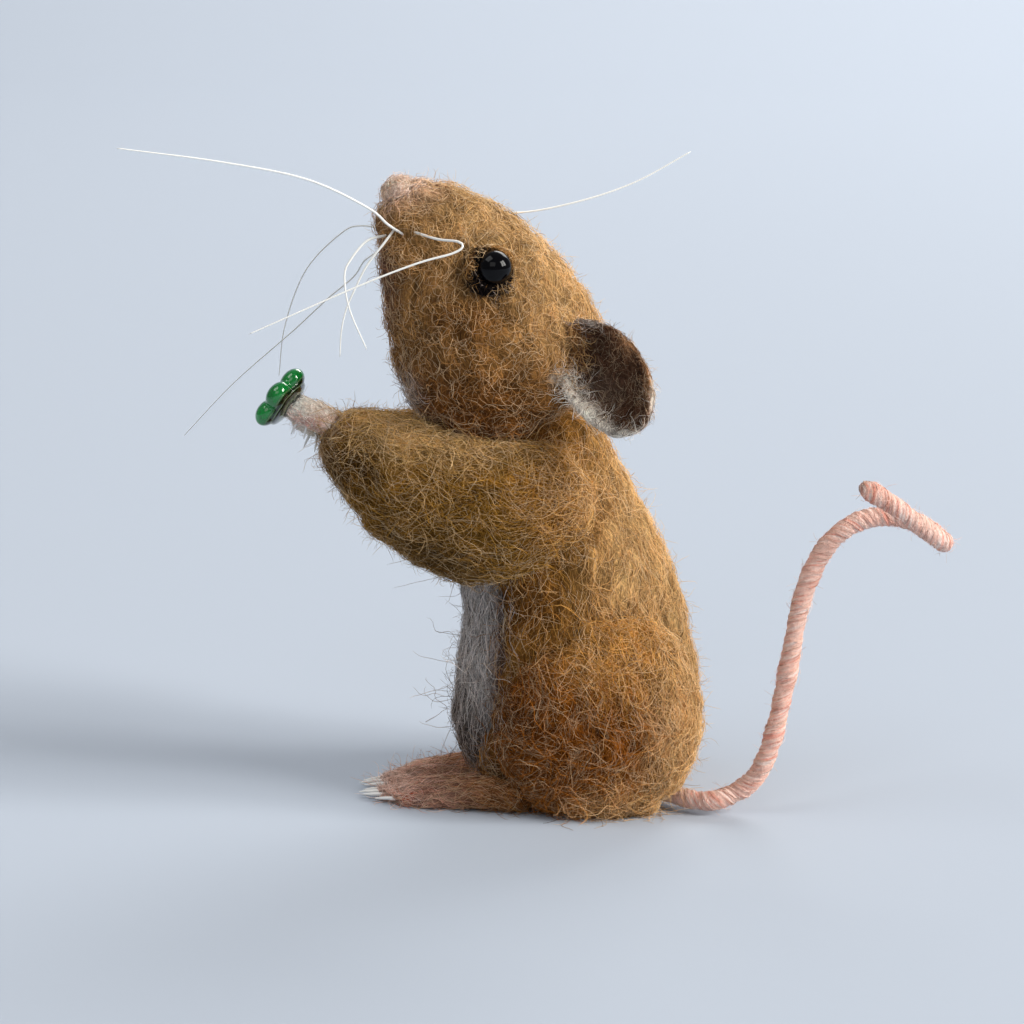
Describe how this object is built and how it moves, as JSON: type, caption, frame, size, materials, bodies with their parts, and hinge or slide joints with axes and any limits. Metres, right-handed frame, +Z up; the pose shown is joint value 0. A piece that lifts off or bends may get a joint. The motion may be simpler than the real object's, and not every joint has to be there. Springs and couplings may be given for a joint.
{
  "type": "felted mouse figurine",
  "caption": "Needle felted mouse sitting on its haunches, arms forward holding a green glass flower bead, with a wool-wrapped wire tail.",
  "frame": {"origin": "on the flat that the mouse sits on, under the middle of its body", "axes": "+Z up, the mouse faces -X, its left side towards -Y"},
  "size_m": [0.1133, 0.0408, 0.0961],
  "materials": {
    "brown_wool": "needle felted golden brown wool",
    "head_wool": "needle felted beige brown wool",
    "arm_wool": "needle felted olive brown wool",
    "pale_wool": "needle felted grey white wool",
    "dark_wool": "needle felted dark brown wool",
    "ear_wool": "felted brown wool with pale fibres",
    "pink_wool": "pink wool wound on wire",
    "foot_wool": "needle felted pink brown wool",
    "nose_wool": "needle felted pale pink wool",
    "claw_wire": "white painted wire",
    "whisker": "stiff white strand",
    "black_glass": "polished black glass",
    "green_glass": "pressed green glass",
    "steel_wire": "plain steel wire"
  },
  "bodies": {
    "body": {"torso": "brown_wool", "belly_bib": "pale_wool", "head": "head_wool", "nose_pad": "nose_wool", "neck_wire": "steel_wire", "eye_wire": "steel_wire", "left_haunch": "brown_wool", "left_foot": "foot_wool", "left_leg_wire": "steel_wire", "left_eye_surround": "dark_wool", "left_eye_bead": "black_glass", "left_ear": "ear_wool", "left_toe_wire_1": "claw_wire", "left_toe_wire_2": "claw_wire", "left_toe_wire_3": "claw_wire", "left_toe_wire_4": "claw_wire", "right_haunch": "brown_wool", "right_foot": "foot_wool", "right_leg_wire": "steel_wire", "right_eye_surround": "dark_wool", "right_eye_bead": "black_glass", "right_ear": "ear_wool", "right_toe_wire_1": "claw_wire", "right_toe_wire_2": "claw_wire", "right_toe_wire_3": "claw_wire", "right_toe_wire_4": "claw_wire", "left_whisker_1": "whisker", "left_whisker_2": "whisker", "left_whisker_3": "whisker", "left_whisker_4": "whisker", "right_whisker_1": "whisker", "right_whisker_2": "whisker", "right_whisker_3": "whisker"},
    "arms": {"left_arm": "arm_wool", "left_paw": "pink_wool", "left_paw_claw_1": "claw_wire", "left_paw_claw_2": "claw_wire", "left_paw_claw_3": "claw_wire", "right_arm": "arm_wool", "right_paw": "pink_wool", "right_paw_claw_1": "claw_wire", "right_paw_claw_2": "claw_wire", "right_paw_claw_3": "claw_wire", "arm_wire": "steel_wire", "bead_pin": "steel_wire"},
    "bead": {"flower_bead": "green_glass"},
    "tail": {"tail_wrap": "pink_wool", "tail_wire": "steel_wire"}
  },
  "joints": [
    {"name": "arms_lower", "type": "hinge", "parent": "body", "child": "arms", "pos_m": [-0.0035, 0, 0.046], "axis": [0, -1, 0], "range_deg": [0, 20]},
    {"name": "bead_spin", "type": "hinge", "parent": "arms", "child": "bead", "pos_m": [-0.0367, -0.0033, 0.0584], "axis": [-0.7815, 0.2588, 0.5678], "continuous": true},
    {"name": "tail_swing", "type": "hinge", "parent": "body", "child": "tail", "pos_m": [0.0136, -0.0034, 0.0024], "axis": [0, 0, 1], "range_deg": [-18, 18]}
  ]
}
